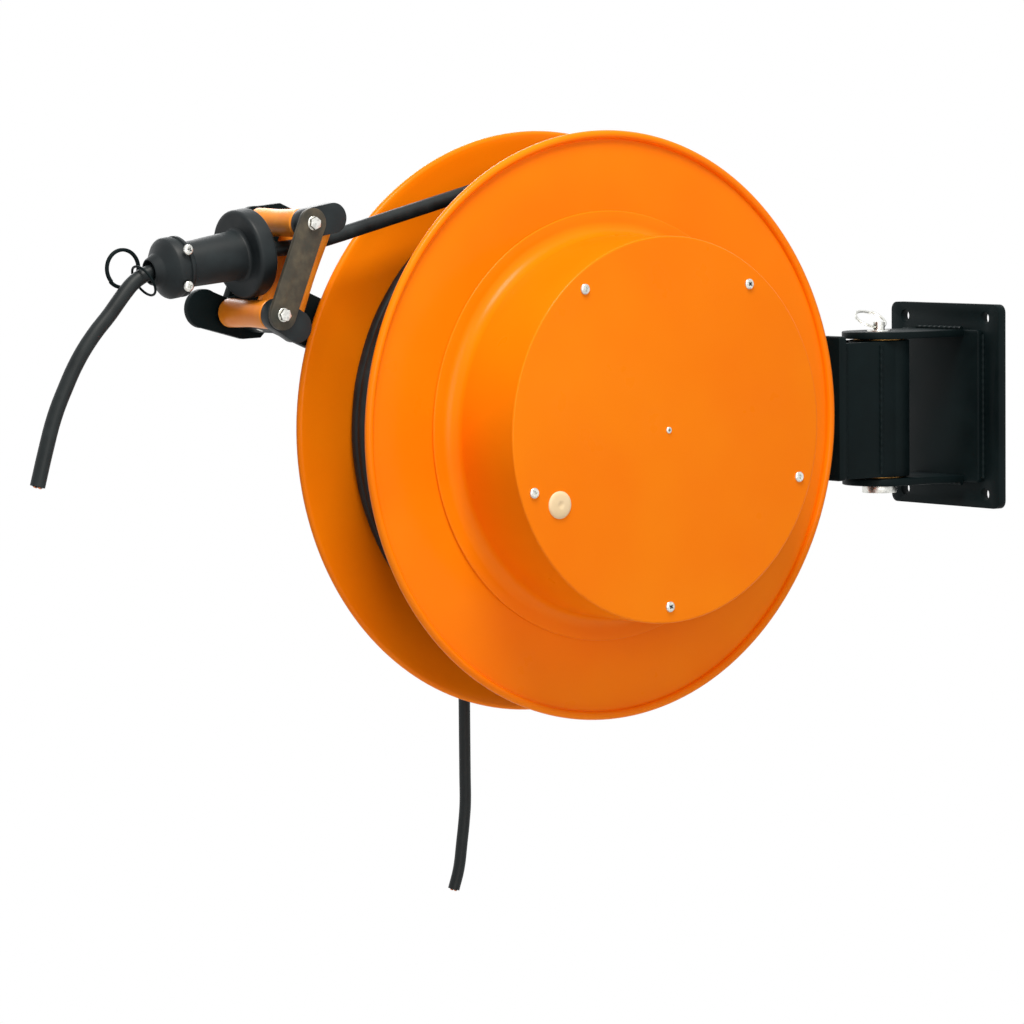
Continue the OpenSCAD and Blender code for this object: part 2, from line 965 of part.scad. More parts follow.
module brush_holder() {
    color("#3a3a3a")
        at_drum()
            difference() {
                block([46, -flange_in + 4, -9], [72, 16, 9]);
                for (i = [0 : ring_n - 1])
                    block([45, -29.3 + 9 * i, -4.1], [60.1, -23.7 + 9 * i, 4.1]);
            }
}

module brushes() {
    color("#4a4642")
        at_drum()
            for (i = [0 : ring_n - 1])
                block([38.4, -29 + 9 * i, -4], [60, -24 + 9 * i, 4]);
}

module core_gland() {
    inside = core_r - core_wall;
    color("#202225")
        at_drum()
            difference() {
                union() {
                    rod_x(11, inside - 22, inside - 1.5, -33);
                    rod_x(7.9, inside - 1.5, inside + core_wall - 0.5, -33);
                }
                rod_x(cable_d / 2 + 0.2, inside - 23, inside + core_wall + 1, -33);
            }
}

module ratchet_wheel() {
    tip = 85;
    root = 77;
    step = 360 / teeth_n;
    color("#8d9297")
        at_drum()
            difference() {
                plate_y(flange_in + sheet_t, flange_in + sheet_t + 7)
                    polygon([
                        for (k = [0 : teeth_n - 1])
                            each [
                                [root * cos(k * step + 1.5), root * sin(k * step + 1.5)],
                                [tip * cos(k * step + 1.5), tip * sin(k * step + 1.5)]
                            ]
                    ]);
                rod_y(66, flange_in, flange_in + 12);
            }
}

wall_plate();
bracket_web();
bracket_ears();
pivot_pin();
pin_ring();
swivel_tube();
swivel_bushes();
carrier_neck();
carrier_side();
carrier_back();
main_axle();
axle_flange();
axle_bolts();
bearing_inner();
spring_arbor();
slip_ring_core();
slip_rings();
inlet_gland();
feed_cable();
guide_arm();
guide_plate();
arm_bolts();
guide_blocks();
guide_strap();
strap_bolts();
guide_caps();
roller_pins();
roller_low();
roller_high();
roller_front();
roller_rear();
drum_cable();
stop_buffer();
stop_body();
stop_collar();
stop_screws();
link_ring();
pull_ring();
pawl();
pawl_pin();
pawl_spring();
front_flange();
rear_flange();
drum_core();
cable_core();
cable_layer();
front_housing();
front_cover();
cover_screws();
cover_plug();
front_hub();
rear_hub();
hub_screws();
bearing_outer();
spring_cassette();
power_spring();
brush_holder();
brushes();
core_gland();
ratchet_wheel();
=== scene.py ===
import json
import math

import bmesh
import bpy
from mathutils import Matrix, Vector


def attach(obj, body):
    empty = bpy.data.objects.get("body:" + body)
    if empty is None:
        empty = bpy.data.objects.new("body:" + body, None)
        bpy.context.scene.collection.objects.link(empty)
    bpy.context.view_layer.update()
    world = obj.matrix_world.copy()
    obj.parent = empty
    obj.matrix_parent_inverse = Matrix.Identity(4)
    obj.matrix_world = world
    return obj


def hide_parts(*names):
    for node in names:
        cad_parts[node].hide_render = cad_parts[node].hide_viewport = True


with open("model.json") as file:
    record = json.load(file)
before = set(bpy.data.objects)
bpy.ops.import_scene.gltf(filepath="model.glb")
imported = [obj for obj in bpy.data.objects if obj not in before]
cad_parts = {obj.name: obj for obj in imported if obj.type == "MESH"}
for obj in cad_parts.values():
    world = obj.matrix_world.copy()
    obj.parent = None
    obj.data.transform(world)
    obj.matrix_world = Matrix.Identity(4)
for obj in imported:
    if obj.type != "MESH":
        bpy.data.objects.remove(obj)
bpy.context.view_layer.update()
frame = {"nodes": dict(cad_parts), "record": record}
print("frame loaded:", len(frame["nodes"]), "nodes")

mm = 0.001
drumCentre = Vector((-0.415, 0.0, 0.0))    # middle of the spool, on its axis
pivotX = -83                               # swivel axis, in mm from the wall
armAngle = math.radians(23)                # rise of the guide's arm
guideY = 13                                # middle of the cable guide along the spool's axis
cableY = 12                                # the free cable's place along the same axis
slotOf = {s["node"]: s["material_slot"] for s in frame["record"]["subparts"]}
bodyOf = {n: b for b, nodes in frame["record"]["behaviour"]["bodies"].items() for n in nodes}

cameraSettings = {
    "place": (-2.8277, -3.1833, 0.2316),
    "aim": (0.59228, 0.80215, -0.07591),
    "lens": 171.2,
    "sensor": 36.0,
    "rollDegrees": -0.5,
    "nearest": 0.1,
    "furthest": 60,
}


def makeCamera(s):
    data = bpy.data.cameras.new("reelCamera")
    data.lens = s["lens"]
    data.sensor_width = s["sensor"]
    data.clip_start = s["nearest"]
    data.clip_end = s["furthest"]
    cam = bpy.data.objects.new("reelCamera", data)
    bpy.context.scene.collection.objects.link(cam)
    cam.location = s["place"]
    turn = Vector(s["aim"]).normalized().to_track_quat("-Z", "Y")
    roll = Matrix.Rotation(math.radians(s["rollDegrees"]), 4, "Z")
    cam.rotation_euler = (turn.to_matrix().to_4x4() @ roll).to_euler()
    bpy.context.scene.camera = cam


makeCamera(cameraSettings)


def hexToLinear(code):
    parts = [int(code[i:i + 2], 16) / 255 for i in (1, 3, 5)]
    return [c / 12.92 if c <= 0.04045 else ((c + 0.055) / 1.055) ** 2.4 for c in parts] + [1.0]


def addNode(tree, kind, settings=None, links=None):
    # one node, its values by socket or property name, and what feeds it
    node = tree.nodes.new(kind)
    for key, value in (settings or {}).items():
        if key in node.inputs and not hasattr(node, key):
            node.inputs[key].default_value = value
        else:
            setattr(node, key, value)
    for key, source in (links or {}).items():
        tree.links.new(source, node.inputs[key])
    return node


def newMaterial(name, **shaderValues):
    # a bare shader and the object's own coordinates in metres
    mat = bpy.data.materials.new(name)
    mat.use_nodes = True
    tree = mat.node_tree
    tree.nodes.clear()
    shader = addNode(tree, "ShaderNodeBsdfPrincipled")
    for key, value in shaderValues.items():
        shader.inputs[key.replace("_", " ")].default_value = value
    output = addNode(tree, "ShaderNodeOutputMaterial")
    tree.links.new(shader.outputs[0], output.inputs["Surface"])
    coords = addNode(tree, "ShaderNodeTexCoord")
    return mat, tree, shader, coords.outputs["Object"]


def blendColours(tree, factor, codes, places):
    ramp = addNode(tree, "ShaderNodeValToRGB", None, {"Fac": factor})
    while len(ramp.color_ramp.elements) < len(codes):
        ramp.color_ramp.elements.new(0.5)
    for element, code, place in zip(ramp.color_ramp.elements, codes, places):
        element.position = place
        element.color = hexToLinear(code)
    return ramp.outputs["Color"]


noiseRange = (0.3, 0.7)    # nearly all values of a noise lie between these


def spreadTo(tree, factor, low, high):
    node = addNode(tree, "ShaderNodeMapRange", {"clamp": True}, {"Value": factor})
    for key, value in zip(("From Min", "From Max", "To Min", "To Max"), (*noiseRange, low, high)):
        node.inputs[key].default_value = value
    return node.outputs["Result"]


def grain(tree, coords, sizeMm, detail=3.0):
    # noise whose blotches are about sizeMm across
    return addNode(tree, "ShaderNodeTexNoise",
                   {"Scale": 1.0 / (sizeMm * mm), "Detail": detail, "Roughness": 0.55},
                   {"Vector": coords}).outputs[0]


def bumpFrom(tree, height, distanceMm, strength):
    return addNode(tree, "ShaderNodeBump", {"Strength": strength, "Distance": distanceMm * mm},
                   {"Height": height}).outputs["Normal"]


def dress(tree, shader, colour, roughness, normal):
    tree.links.new(colour, shader.inputs["Base Color"])
    tree.links.new(roughness, shader.inputs["Roughness"])
    tree.links.new(normal, shader.inputs["Normal"])


orangeSettings = {"colours": ["#FA7F04", "#FB8406", "#FC8908"], "places": [0.3, 0.5, 0.7], "cloudMm": 120,
                  "sheenMm": 35, "roughness": (0.27, 0.37), "peelMm": 2.2, "specular": 0.08, "coat": 0.07}


def powderCoatOrange(s):
    # glossy powder coat on pressed steel: even deep orange under a clear skin, with a faint orange peel
    mat, tree, shader, at = newMaterial("orangePowderCoat", Specular_IOR_Level=s["specular"],
                                        Coat_Weight=s["coat"], Coat_Roughness=0.14)
    clouds = grain(tree, at, s["cloudMm"], detail=2.0)
    peel = grain(tree, at, s["peelMm"], detail=2.0)
    dress(tree, shader, blendColours(tree, clouds, s["colours"], s["places"]),
          spreadTo(tree, grain(tree, at, s["sheenMm"]), *s["roughness"]),
          bumpFrom(tree, peel, distanceMm=0.05, strength=0.2))
    return mat


blackSettings = {"colours": ["#0A1315", "#0E191B", "#141F22"], "places": [0.3, 0.55, 0.8], "dustMm": 45,
                 "roughness": (0.38, 0.56), "textureMm": 1.2, "specular": 0.07}


def powderCoatBlack(s):
    # semi-gloss black powder coat on welded plate: a fine texture that takes a little dust
    mat, tree, shader, at = newMaterial("blackPowderCoat", Specular_IOR_Level=s["specular"])
    dust = grain(tree, at, s["dustMm"], detail=4.0)
    dress(tree, shader, blendColours(tree, dust, s["colours"], s["places"]),
          spreadTo(tree, dust, *s["roughness"]),
          bumpFrom(tree, grain(tree, at, s["textureMm"]), distanceMm=0.08, strength=0.35))
    return mat


greySettings = {"colours": ["#2F312B", "#413E35", "#575244"], "places": [0.3, 0.52, 0.75], "wearMm": 14,
                "roughness": (0.34, 0.55), "textureMm": 0.9, "specular": 0.3}


def coatGrey(s):
    # worn grey coat on strip steel: rubbed lighter in patches where the cable has brushed it
    mat, tree, shader, at = newMaterial("greyStripCoat", Specular_IOR_Level=s["specular"])
    wear = grain(tree, at, s["wearMm"], detail=4.0)
    dress(tree, shader, blendColours(tree, wear, s["colours"], s["places"]),
          spreadTo(tree, wear, *s["roughness"]),
          bumpFrom(tree, grain(tree, at, s["textureMm"]), distanceMm=0.06, strength=0.3))
    return mat


zincSettings = {"colours": ["#C9C9C4", "#DEDED8", "#EEEEE8"], "places": [0.2, 0.5, 0.8], "spangleMm": 1.6,
                "sheenMm": 3, "roughness": (0.22, 0.38), "textureMm": 0.5}


def zincPlate(s):
    # bright zinc plating on fasteners: pale metal with the soft spangle of the plating bath
    mat, tree, shader, at = newMaterial("brightZinc", Metallic=1.0)
    spangle = addNode(tree, "ShaderNodeTexVoronoi", {"Scale": 1 / (s["spangleMm"] * mm)}, {"Vector": at})
    dress(tree, shader, blendColours(tree, spangle.outputs["Color"], s["colours"], s["places"]),
          spreadTo(tree, grain(tree, at, s["sheenMm"]), *s["roughness"]),
          bumpFrom(tree, grain(tree, at, s["textureMm"]), distanceMm=0.03, strength=0.3))
    return mat


def turnedMetal(name, codes, ridgeMm):
    # turned on a lathe: fine rings round the spool's axis catch the light as a soft fan
    mat, tree, shader, at = newMaterial(name, Metallic=1.0)
    shifted = addNode(tree, "ShaderNodeMapping", {"Location": -drumCentre}, {"Vector": at})
    ringScale = 0.314 / (ridgeMm * mm)    # a wave texture's rings lie 0.314 apart at scale 1
    rings = addNode(tree, "ShaderNodeTexWave",
                    {"wave_type": "RINGS", "rings_direction": "Y", "Scale": ringScale,
                     "Distortion": 0.6, "Detail": 2.0},
                    {"Vector": shifted.outputs[0]}).outputs["Fac"]
    dress(tree, shader, blendColours(tree, rings, codes, [0.1, 0.5, 0.9]),
          spreadTo(tree, grain(tree, at, sizeMm=12), 0.28, 0.45),
          bumpFrom(tree, rings, distanceMm=0.02, strength=0.3))
    return mat


def mouldedPlastic(name, codes, roughness, specular=0.4):
    # injection moulded: even colour with faint flow clouds and the fine grain of a spark-eroded mould
    mat, tree, shader, at = newMaterial(name, IOR=1.52, Specular_IOR_Level=specular)
    flow = grain(tree, at, sizeMm=22)
    dress(tree, shader, blendColours(tree, flow, codes, [0.3, 0.5, 0.72]),
          spreadTo(tree, flow, roughness - 0.06, roughness + 0.08),
          bumpFrom(tree, grain(tree, at, sizeMm=0.6), distanceMm=0.05, strength=0.25))
    return mat


def rubber(name, codes, roughness, grainMm):
    # extruded or moulded rubber: soft sheen, slightly chalky where it is handled
    mat, tree, shader, at = newMaterial(name, IOR=1.5, Specular_IOR_Level=0.25)
    chalk = grain(tree, at, sizeMm=18, detail=5.0)
    dress(tree, shader, blendColours(tree, chalk, codes, [0.3, 0.55, 0.8]),
          spreadTo(tree, chalk, roughness - 0.08, roughness + 0.12),
          bumpFrom(tree, grain(tree, at, grainMm), distanceMm=0.06, strength=0.35))
    return mat


def copperStrand():
    # cut copper conductor ends: small bright grains of strand
    mat, tree, shader, at = newMaterial("copperStrand", Metallic=1.0)
    strandMm = 0.35
    strands = addNode(tree, "ShaderNodeTexVoronoi", {"Scale": 1 / (strandMm * mm)}, {"Vector": at})
    gaps = strands.outputs["Distance"]
    dress(tree, shader, blendColours(tree, gaps, ["#E09A6A", "#B8683C"], [0.1, 0.6]),
          spreadTo(tree, grain(tree, at, sizeMm=1), 0.3, 0.45),
          bumpFrom(tree, gaps, distanceMm=0.08, strength=0.5))
    return mat


# one material for each slot of the record
looks = {
    "black_coated_steel": powderCoatBlack(blackSettings),
    "orange_coated_sheet": powderCoatOrange(orangeSettings),
    "zinc_plated_steel": zincPlate(zincSettings),
    "turned_steel": turnedMetal("groundSteel", ["#7E8285", "#9A9EA1", "#B4B7B9"], 0.5),
    "bearing_bronze": turnedMetal("sinteredBronze", ["#8A6434", "#A27A43", "#B98F55"], 0.6),
    "slip_ring_brass": turnedMetal("slipRingBrass", ["#A8842F", "#C19A3F", "#D6B257"], 0.5),
    "black_plastic": mouldedPlastic("blackPolyamide", ["#121719", "#182023", "#20292C"], 0.42, 0.25),
    "orange_plastic": mouldedPlastic("orangePolyamide", ["#F28A1E", "#F69528", "#FAA236"], 0.34, 0.25),
    "grey_coated_steel": coatGrey(greySettings),
    "cable_rubber": rubber("cableSheath", ["#12181A", "#1B2224", "#282F31"], 0.46, 0.8),
    "stop_rubber": rubber("mouldedRubber", ["#11171A", "#171E21", "#20292C"], 0.5, 1.1),
    "spring_steel": turnedMetal("bluedSpringSteel", ["#33393F", "#444C55", "#59626C"], 1.2),
    "carbon": mouldedPlastic("carbonBlock", ["#2B2A29", "#343231", "#3F3D3B"], 0.6),
    "pale_plastic": mouldedPlastic("creamPlug", ["#E6D2A8", "#EED9B0", "#F4E2BE"], 0.36),
}
copper = copperStrand()
for nodeName, nodeObject in frame["nodes"].items():
    nodeObject.data.materials.clear()
    nodeObject.data.materials.append(looks[slotOf[nodeName]])
print("materials made:", len(looks) + 1)


def declare(piece, node=None, body=None):
    # the piece rides its body, and stands for the node that it replaces, if any
    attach(piece, body or bodyOf[node])
    if node:
        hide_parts(node)
    return piece


def linkMesh(name, bm, material, sharp):
    mesh = bpy.data.meshes.new(name)
    bm.to_mesh(mesh)
    bm.free()
    mesh.set_sharp_from_angle(angle=math.radians(sharp))
    mesh.materials.append(material)
    piece = bpy.data.objects.new(name, mesh)
    bpy.context.scene.collection.objects.link(piece)
    return piece


levelDegrees = 0.3    # faces that meet at less than this are level


def bends(face, sharpest):
    turns = [math.degrees(e.calc_face_angle(0)) for e in face.edges if e.is_manifold]
    return any(levelDegrees < t < sharpest for t in turns)


def addPiece(name, bm, node, sharp=35):
    # gently bending faces are shaded smooth and level ones flat
    for face in bm.faces:
        face.smooth = face.smooth or bends(face, sharp)
    return declare(linkMesh(name, bm, looks[slotOf[node]], sharp), node)


def arc(centre, radius, start, end, steps):
    turn = [math.radians(start + (end - start) * i / steps) for i in range(steps + 1)]
    return [(centre[0] + radius * math.cos(a), centre[1] + radius * math.sin(a)) for a in turn]


def moved(x=0, y=0, z=0):
    # a shift from the middle of the spool, in mm
    return Matrix.Translation(drumCentre + Vector((x, y, z)) * mm)


def spun(bm, profile, place, steps):
    # turns a closed profile of (radius, along) in mm about the Y axis, then puts it in place
    verts = [bm.verts.new((r * mm, y * mm, 0)) for r, y in profile]
    edges = [bm.edges.new(pair) for pair in zip(verts, verts[1:] + verts[:1])]
    known = set(bm.verts) - set(verts)
    bmesh.ops.spin(bm, geom=verts + edges, cent=(0, 0, 0), axis=(0, 1, 0),
                   angle=2 * math.pi, steps=steps, use_merge=True, use_duplicate=False)
    fresh = [v for v in bm.verts if v not in known]
    bmesh.ops.remove_doubles(bm, verts=fresh, dist=1e-7)
    fresh = [v for v in bm.verts if v not in known]
    bmesh.ops.transform(bm, matrix=place, verts=fresh)
    bmesh.ops.recalc_face_normals(bm, faces=[f for f in bm.faces if f.verts[0] not in known])


def spunPiece(name, profile, node, steps, place=None):
    bm = bmesh.new()
    spun(bm, profile, place or moved(), steps)
    return addPiece(name, bm, node)


def guidePoint(a, b):
    # x and z of a place in the guide: a out along its arm, b square to it
    x = -a * math.cos(armAngle) + b * math.sin(armAngle)
    z = a * math.sin(armAngle) + b * math.cos(armAngle)
    return x, z


def atGuide(a, b, y=0.0):
    x, z = guidePoint(a, b)
    return moved(x, y, z)


def bevelEdges(bm, edges, offsetMm, segments):
    return bmesh.ops.bevel(bm, geom=edges, offset=offsetMm * mm, offset_type="OFFSET", segments=segments,
                           profile=0.5, affect="EDGES", clamp_overlap=True, material=-1)["faces"]


easedSettings = {"mergeDist": 2e-6, "flatDegrees": 0.4, "cornerDegrees": 80, "edgeDegrees": 40,
                 "smoothDegrees": 20, "sharpDegrees": 50}


def eased(node, width, corner, cornerAxis, s):
    # a merged copy of a plate or fitting with its edges eased, and its plain corners rounded if asked
    bm = bmesh.new()
    bm.from_mesh(frame["nodes"][node].data)
    bmesh.ops.remove_doubles(bm, verts=bm.verts, dist=s["mergeDist"])
    bmesh.ops.dissolve_limit(bm, angle_limit=math.radians(s["flatDegrees"]), verts=bm.verts, edges=bm.edges)
    if corner:
        steep = [e for e in bm.edges
                 if e.is_manifold and e.calc_face_angle(0) > math.radians(s["cornerDegrees"])]
        upright = [e for e in steep
                   if abs((e.verts[0].co - e.verts[1].co).normalized()[cornerAxis]) > 0.999]
        bevelEdges(bm, upright, corner, segments=8)
    for face in bm.faces:
        face.smooth = bends(face, s["smoothDegrees"])
    edges = [e for e in bm.edges if e.is_manifold and e.calc_face_angle(0) > math.radians(s["edgeDegrees"])]
    for face in bevelEdges(bm, edges, width, segments=2):
        face.smooth = True
    bmesh.ops.triangulate(bm, faces=[f for f in bm.faces if len(f.verts) > 4])
    words = node.split("_")
    name = words[0] + "".join(w.capitalize() for w in words[1:])
    return declare(linkMesh(name, bm, looks[slotOf[node]], s["sharpDegrees"]), node)


# free cables: straight out of the spool and of the gland, then down under their own weight
drumRoute = [
    (-45, 12, 203), (-75, 12, 195.5), (-105, 12, 188), (-135, 12, 180.5), (-165, 12, 173),
    (-195, 12, 165.5), (-225, 12, 158), (-250, 12, 152.5), (-272, 12, 149.4), (-290, 12, 148.1),
    (-303, 12, 147), (-333, 12, 142.8), (-363, 12, 138.6), (-392, 12, 134.5), (-400, 12, 132.7),
    (-408, 12, 129.3), (-415, 12, 124.8), (-421, 12, 119), (-427, 12, 112.3), (-436, 12, 101.8),
    (-451, 12, 86), (-465, 12, 67.5), (-477, 12, 46), (-487, 12, 24.5), (-495, 12, 0), (-503, 12, -28),
]
feedRoute = [
    (0, 104, 0), (0, 114, 0), (0, 124.5, -1.4), (0, 134.5, -5.5), (0, 143, -12),
    (0, 149.5, -20.5), (0, 153.6, -30.4), (0, 155, -42), (0, 155, -66), (0, 155, -90),
    (0, 155, -114), (0, 155, -138), (0, 155, -162), (0, 155, -186), (0, 155, -210),
    (0, 155, -234), (0, 155, -258), (0, 155, -282), (0, 155, -306), (0, 155, -330),
    (-1, 155, -342), (-4, 155, -364), (-7.5, 155, -386), (-13, 155, -403),
]


def routeLength(route):
    return sum((Vector(b) - Vector(a)).length for a, b in zip(route, route[1:])) * mm


def wire(name, route, radiusMm, look, swell=None, sides=6):
    # a round bar along a route of points in mm from the middle of the spool
    curve = bpy.data.curves.new(name, "CURVE")
    curve.dimensions = "3D"
    curve.bevel_depth = radiusMm * mm
    curve.bevel_resolution = sides
    curve.resolution_u = 4
    curve.use_fill_caps = True
    spline = curve.splines.new("BEZIER")
    spline.bezier_points.add(len(route) - 1)
    for i, (point, place) in enumerate(zip(spline.bezier_points, route)):
        point.co = drumCentre + Vector(place) * mm
        point.handle_left_type = "AUTO"
        point.handle_right_type = "AUTO"
        point.radius = swell(i) if swell else 1.0
    curve.materials.append(look)
    piece = bpy.data.objects.new(name, curve)
    bpy.context.scene.collection.objects.link(piece)
    return piece


endSettings = {"cores": 4, "coreRing": 2.6, "insulation": 1.7, "copper": 1.05, "proud": 0.6, "sides": 16}


def cableEnd(name, route, s, scale=1.0):
    # the cut end: insulated cores in a ring, each with its copper just proud of the sheath
    along = (Vector(route[-1]) - Vector(route[-2])).normalized()
    lie = Vector((0, 0, 1)).rotation_difference(along).to_matrix().to_4x4()
    place = moved(*route[-1]) @ lie
    ring = s["coreRing"] * scale * mm
    parts = (("Cores", s["insulation"], s["proud"], looks["black_plastic"]),
             ("Copper", s["copper"], 2 * s["proud"], copper))
    made = []
    for part, radius, proud, look in parts:
        bm = bmesh.new()
        for i in range(s["cores"]):
            turn = 2 * math.pi * i / s["cores"]
            spot = Matrix.Translation((ring * math.cos(turn), ring * math.sin(turn), 0))
            bmesh.ops.create_cone(bm, cap_ends=True, segments=s["sides"], radius1=radius * scale * mm,
                                  radius2=radius * scale * mm, depth=2 * proud * mm, matrix=place @ spot)
        piece = linkMesh(name + part, bm, look, 35)
        made.append(declare(piece, body="carrier"))
    return made


cableSettings = {"drumRadius": 6, "feedRadius": 5, "feedEndScale": 0.84}
drumCable = declare(wire("drumCable", drumRoute, cableSettings["drumRadius"], looks["cable_rubber"]),
                    "drum_cable")
feedCable = declare(wire("feedCable", feedRoute, cableSettings["feedRadius"], looks["cable_rubber"]),
                    "feed_cable")
drumEnd = cableEnd("drumCableEnd", drumRoute, endSettings)
feedEnd = cableEnd("feedCableEnd", feedRoute, endSettings, cableSettings["feedEndScale"])
print("cords:", round(routeLength(drumRoute), 3), "m and", round(routeLength(feedRoute), 3), "m")

flangeSettings = {"rim": 240, "bead": 3.5, "beadMiddle": 48, "web": 46, "sheet": 2, "hole": 42.1,
                  "steps": 192}


def flangeProfile(s, side):
    # sheet from the hub out, rolled outwards into the bead at the rim
    half = s["sheet"] / 2
    middle = s["rim"] - s["bead"]
    near, far = s["web"] - half, s["web"] + half
    points = [(s["hole"], near), (middle - 14, near), (middle - 12, near), (middle - 5, near - 0.3)]
    points += arc((middle, s["beadMiddle"]), s["bead"], -90, 195, 20)
    points += [(middle - 5, far + 0.25), (middle - 9, far), (middle - 10.5, far), (s["hole"], far)]
    return [(r, y * side) for r, y in points]


for name, node, side in (("frontFlange", "front_flange", -1), ("rearFlange", "rear_flange", 1)):
    spunPiece(name, flangeProfile(flangeSettings, side), node, steps=flangeSettings["steps"])

housingSettings = {"radius": 155, "front": -125.5, "foot": -47, "bend": 12, "footWidth": 7, "sheet": 2,
                   "steps": 192}


def housingProfile(s):
    # straight wall, fillet and flat foot of one pressed sheet
    wall, radius, front = s["sheet"], s["radius"], s["front"]
    bendR = radius + s["bend"]
    bendY = s["foot"] - s["bend"] - wall
    outer = arc((bendR, bendY), s["bend"], 180, 90, 14)
    inner = arc((bendR, bendY), s["bend"] + wall, 90, 180, 14)
    edge = arc((bendR + s["footWidth"], s["foot"] - wall / 2), wall / 2, 90, -90, 6)
    wallTop = [(radius - wall, front), (radius - 0.4, front), (radius, front + 0.5), (radius, bendY - 2)]
    return wallTop + outer + edge[::-1] + inner + [(radius - wall, bendY - 2)]


spunPiece("springHousing", housingProfile(housingSettings), "front_housing", steps=housingSettings["steps"])

coverSettings = {"radius": 155.3, "front": -128, "back": -125.4, "edge": 1.3, "steps": 192}


def coverProfile(s):
    r, e, y = s["radius"], s["edge"], s["front"]
    edge = arc((r - e, y + e), e, -90, 0, 6)
    return [(0, y), (r - 6, y), (r - 3, y)] + edge + [(r, s["back"]), (r - 5, s["back"]), (0, s["back"])]


spunPiece("frontCover", coverProfile(coverSettings), "front_cover", steps=coverSettings["steps"])


def crossRadius(turn, arm, halfWidth):
    # how far the outline of a cross recess lies from its middle, by direction
    fold = abs((turn + math.pi / 4) % (math.pi / 2) - math.pi / 4)
    return arm / math.cos(fold) if math.tan(fold) * arm < halfWidth else halfWidth / math.sin(fold)


# rings of a screw head from the rim in: share of its radius, share of its height, and if it is a cross
panHeadRings = [(1, 0, False), (1, 0.35, False), (0.93, 0.68, False), (0.76, 0.9, False),
                (0.56, 1, False), (0.44, 1, True), (0.3, 0.45, True)]
crossWidth = 0.27    # half the width of a cross recess, as a share of its arm


def panHead(bm, place, radius, height):
    # domed screw head with a cross recess, its top towards -Y
    loops = []
    for size, rise, cross in panHeadRings:
        reach = size * radius * mm
        ring = bmesh.ops.create_circle(bm, segments=24, radius=reach, cap_ends=False)["verts"]
        for v in ring:
            if cross:
                turn = math.atan2(v.co.y, v.co.x)
                v.co *= crossRadius(turn, reach, crossWidth * reach) / v.co.length
            v.co.z = rise * height * mm
        bmesh.ops.transform(bm, matrix=place @ Matrix.Rotation(math.pi / 2, 4, "X"), verts=ring)
        loops.append(list({e for v in ring for e in v.link_edges}))
    for low, high in zip(loops, loops[1:]):
        bmesh.ops.bridge_loops(bm, edges=low + high)
    for cap in (loops[0], loops[-1]):
        bmesh.ops.contextual_create(bm, geom=cap)
    bmesh.ops.recalc_face_normals(bm, faces=bm.faces)


coverScrewSettings = {"count": 5, "circle": 142, "first": 126, "twist": 0.7, "head": (4.4, 1.9),
                      "centreHead": (2.7, 1.0)}


def coverScrews(s, face):
    bm = bmesh.new()
    for i in range(s["count"]):
        turn = math.radians(s["first"] - 360 / s["count"] * i)
        place = moved(s["circle"] * math.cos(turn), face, s["circle"] * math.sin(turn))
        panHead(bm, place @ Matrix.Rotation(s["twist"] * i, 4, "Y"), *s["head"])
    panHead(bm, moved(0, face, 0), *s["centreHead"])
    addPiece("coverScrews", bm, "cover_screws", sharp=38)


coverScrews(coverScrewSettings, coverSettings["front"])

plugSettings = {"at": (-110, -54.5), "radius": 11, "dome": 2.2, "dimple": 2.2, "steps": 64}


def coverPlug(s, face):
    # low dome with a dimple in its middle
    r, dimple = s["radius"], s["dimple"]
    profile = [(0, 0), (r, 0), (r, -0.5), (r - 0.5, -1.1), (r - 2.2, -1.7), (r - 4.5, -2.0),
               (4.0, -s["dome"]), (dimple + 0.5, -2.15), (dimple, -1.9), (0, -1.5)]
    x, z = s["at"]
    spunPiece("coverPlug", profile, "cover_plug", s["steps"], moved(x, face, z))


coverPlug(plugSettings, coverSettings["front"])
print("spool shells done")

windingSettings = {
    "pitch": 12.6, "cable": 6,
    "outer": 194, "outerLoops": 4, "outerEnd": 12.4, "loopPoints": 90,                 # outer loops
    "liftFrom": 27, "liftTo": 102.5, "liftRadius": 207.9, "liftPoints": 8,             # their last climb
    "under": 181.8, "underTurns": 6, "underStart": 40, "extraTurns": 1.05,             # turns below them
    "lastY": 38.4, "looseBy": 4.4, "looseFrom": 16, "looseOver": 8,                    # the loose ones
    "core": 169.6, "coreHole": 152.2, "coreHalf": 44.4, "ribs": 7, "coreSteps": 128,   # ribbed inner ring
}


def helix(radius, pitch, startY, startTurn, turns, stepDegrees=15):
    count = round(turns * 360 / stepDegrees)
    made = []
    for i in range(count + 1):
        turn = math.radians(startTurn + stepDegrees * i)
        y = startY + pitch * i * stepDegrees / 360
        made.append((radius * math.cos(turn), y, radius * math.sin(turn)))
    return made


def outerLayer(s):
    # four open loops, and their last fifth of a turn climbs to meet the cable that leaves the spool
    lift = s["liftTo"] - s["liftFrom"]
    turns = s["outerLoops"] - lift / 360
    loops = helix(s["outer"], s["pitch"], s["outerEnd"] - s["outerLoops"] * s["pitch"],
                  s["liftTo"] - 360 * s["outerLoops"], turns, 360 * turns / s["loopPoints"])
    route = loops[:-1]
    lastY = loops[-1][1]
    for i in range(s["liftPoints"] + 1):
        t = i / s["liftPoints"]
        ease = t * t * (3 - 2 * t)
        turn = math.radians(s["liftFrom"] + lift * t)
        radius = s["outer"] + (s["liftRadius"] - s["outer"]) * ease
        route.append((radius * math.cos(turn), lastY + (cableY - lastY) * ease, radius * math.sin(turn)))
    return route


